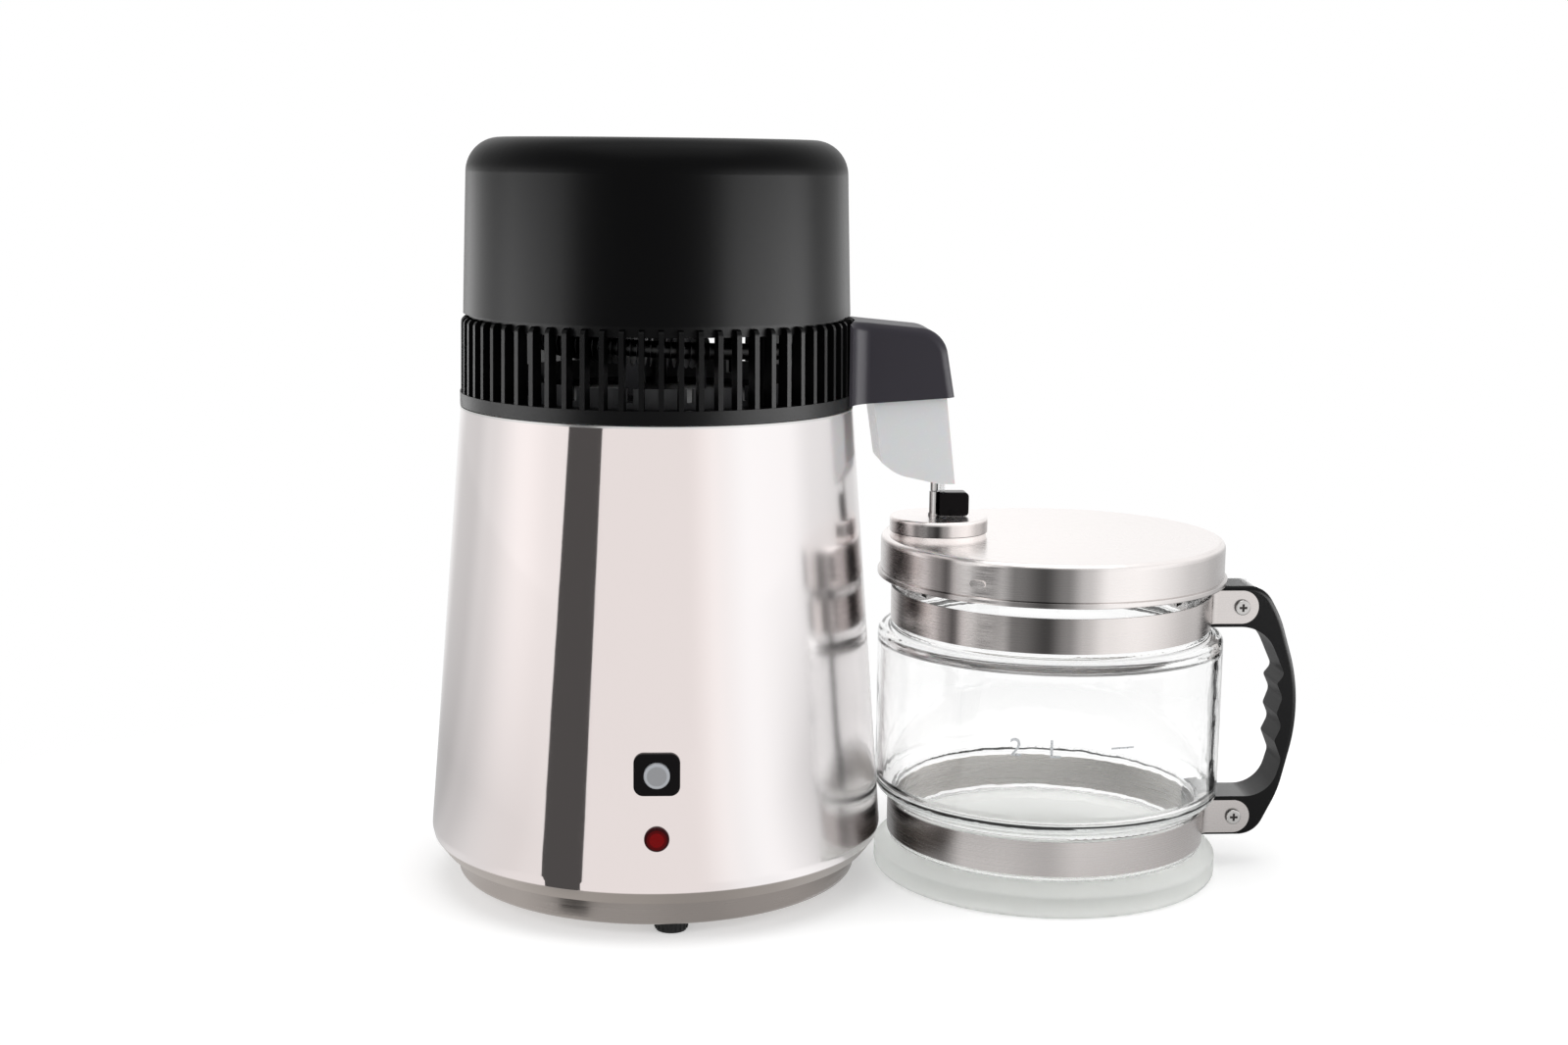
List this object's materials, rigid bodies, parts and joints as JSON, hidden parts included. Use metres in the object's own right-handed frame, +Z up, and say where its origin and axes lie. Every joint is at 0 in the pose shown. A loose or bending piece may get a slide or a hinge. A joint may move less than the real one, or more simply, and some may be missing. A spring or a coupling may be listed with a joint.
{
  "type": "countertop water distiller",
  "caption": "Countertop water distiller: a tapered steel boiler with a lift-off fan and condenser head whose spout drips into a lidded glass jug with a handle.",
  "frame": {"origin": "on the boiler's axis, at the level of the surface that it stands on", "axes": "+Z up; +X from the boiler towards the spout and the jug; -Y towards the front panel"},
  "size_m": [0.4432, 0.231, 0.371],
  "materials": {
    "shell_steel": "mirror polished stainless steel",
    "lid_steel": "brushed stainless steel",
    "band_steel": "brushed stainless steel",
    "pan_steel": "brushed stainless steel sheet",
    "tank_steel": "deep-drawn stainless steel",
    "tube_steel": "drawn stainless steel tube",
    "fastener_steel": "bright steel",
    "bracket_steel": "zinc plated sheet",
    "core_steel": "varnished laminated steel",
    "spreader_aluminium": "cast aluminium",
    "heater_metal": "heat-tinted sheathed element",
    "winding_copper": "enamelled copper wire",
    "contact_brass": "nickelled brass",
    "cover_black": "satin black moulded plastic",
    "ring_black": "satin black moulded plastic",
    "arm_black": "satin black moulded plastic",
    "handle_black": "satin black moulded plastic",
    "gloss_black": "gloss black moulded plastic",
    "socket_black": "moulded plastic",
    "fan_grey": "moulded plastic",
    "switch_grey": "moulded plastic",
    "button_grey": "moulded plastic",
    "lens_red": "clear red plastic",
    "insert_plastic": "milky translucent plastic",
    "pod_fabric": "non-woven wrap round carbon granules",
    "foot_rubber": "rubber",
    "seal_silicone": "silicone rubber",
    "seal_dark": "rubber",
    "clear_plastic": "clear plastic tube",
    "jug_glass": "clear pressed glass, faintly green at its edges"
  },
  "bodies": {
    "boiler": {"outer_shell": "shell_steel", "base_pan": "pan_steel", "rubber_feet": "foot_rubber", "foot_screws": "fastener_steel", "boiling_tank": "tank_steel", "heat_spreader": "spreader_aluminium", "heater_ring": "heater_metal", "tie_rods": "fastener_steel", "tie_nuts": "fastener_steel", "cutoff_thermostat": "switch_grey", "thermostat_strap": "bracket_steel", "strap_screws": "fastener_steel", "reset_bezel": "gloss_black", "switch_body": "switch_grey", "lamp_lens": "lens_red", "lamp_body": "switch_grey", "mains_inlet": "socket_black", "inlet_pins": "contact_brass", "inlet_screws": "fastener_steel"},
    "reset_button": {"reset_button": "button_grey"},
    "head": {"head_gasket": "seal_silicone", "head_plate": "tank_steel", "plate_screws": "fastener_steel", "slat_ring": "ring_black", "cover_screws": "fastener_steel", "air_baffle": "ring_black", "top_cover": "cover_black", "condenser_coil": "tube_steel", "motor_stand": "bracket_steel", "stand_screws": "fastener_steel", "motor_stator": "core_steel", "motor_winding": "winding_copper", "bearing_bridge": "bracket_steel", "fan_socket": "socket_black", "fan_socket_pins": "contact_brass", "spout_arm": "arm_black", "spout_insert": "insert_plastic", "filter_pod": "pod_fabric", "outlet_tube": "tube_steel", "vent_tube": "clear_plastic"},
    "fan": {"fan_blades": "fan_grey", "motor_rotor": "core_steel"},
    "jug": {"glass_jug": "jug_glass", "upper_band": "band_steel", "lower_band": "band_steel", "jug_handle": "handle_black", "handle_screws": "fastener_steel", "handle_nuts": "fastener_steel"},
    "lid": {"jug_lid": "lid_steel", "lid_gasket": "seal_silicone", "disc_seal": "seal_dark", "inlet_disc": "lid_steel"},
    "inlet_valve": {"inlet_post": "tube_steel", "post_clip": "fastener_steel", "valve_tab": "gloss_black"}
  },
  "joints": [
    {"name": "head_lift", "type": "slide", "parent": "boiler", "child": "head", "axis": [0, 0, 1], "range_m": [0, 0.15]},
    {"name": "reset_press", "type": "slide", "parent": "boiler", "child": "reset_button", "axis": [0.0157, 0.9999, 0], "range_m": [0, 0.003], "stiffness_N_per_m": 600, "springref_m": -0.002},
    {"name": "jug_slide", "type": "slide", "parent": "boiler", "child": "jug", "axis": [1, 0, 0], "range_m": [0, 0.12]},
    {"name": "fan_spin", "type": "hinge", "parent": "head", "child": "fan", "pos_m": [0, 0, 0.348], "axis": [0, 0, 1], "continuous": true},
    {"name": "lid_twist", "type": "hinge", "parent": "jug", "child": "lid", "pos_m": [0.2011, 0, 0.1745], "axis": [0, 0, 1], "range_deg": [0, 45]},
    {"name": "inlet_turn", "type": "hinge", "parent": "lid", "child": "inlet_valve", "pos_m": [0.14, 0, 0.1905], "axis": [0, 0, 1], "range_deg": [0, 90]}
  ]
}
